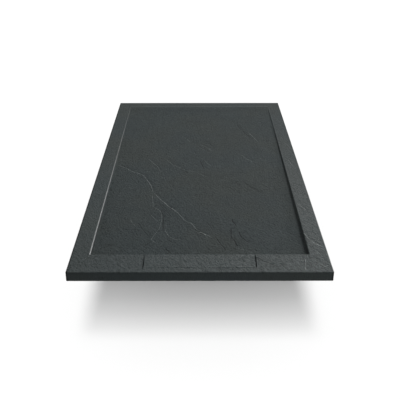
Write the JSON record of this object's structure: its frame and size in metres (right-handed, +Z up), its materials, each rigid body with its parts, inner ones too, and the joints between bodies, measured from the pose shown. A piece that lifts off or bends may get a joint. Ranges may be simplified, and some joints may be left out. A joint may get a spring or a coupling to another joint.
{
  "type": "shower tray",
  "caption": "Low rectangular shower tray with a flat rim, a sunk floor falling to one short end, and a lift-off cover over the hidden waste there.",
  "frame": {"origin": "centre of the underside", "axes": "+Z up, Y along the tray with the drain end at -Y, X across"},
  "size_m": [0.8, 1.6, 0.03],
  "materials": {
    "slate_resin": "matt slate relief under a through-coloured gel coat",
    "soft_pad": "soft translucent silicone",
    "steel": "brushed stainless steel",
    "seal_rubber": "matt black rubber",
    "collar_plastic": "moulded plastic",
    "brass": "turned brass",
    "knob_plastic": "moulded plastic"
  },
  "bodies": {
    "tray": {"tray_body": "slate_resin", "waste_flange": "steel", "flange_seal": "seal_rubber", "collar_seal": "seal_rubber", "waste_collar": "collar_plastic", "collar_inserts": "brass", "flange_screws": "steel"},
    "cover": {"drain_cover": "slate_resin", "cover_pads": "soft_pad"},
    "strainer": {"hair_strainer": "steel", "strainer_knob": "knob_plastic"}
  },
  "joints": [
    {"name": "cover_lift", "type": "slide", "parent": "tray", "child": "cover", "axis": [0, 0, 1], "range_m": [0, 0.06]},
    {"name": "strainer_lift", "type": "slide", "parent": "tray", "child": "strainer", "axis": [0, 0, 1], "range_m": [0, 0.036]}
  ],
  "couplings": [
    {"joint": "strainer_lift", "follows": "cover_lift", "ratio": 0.6}
  ]
}
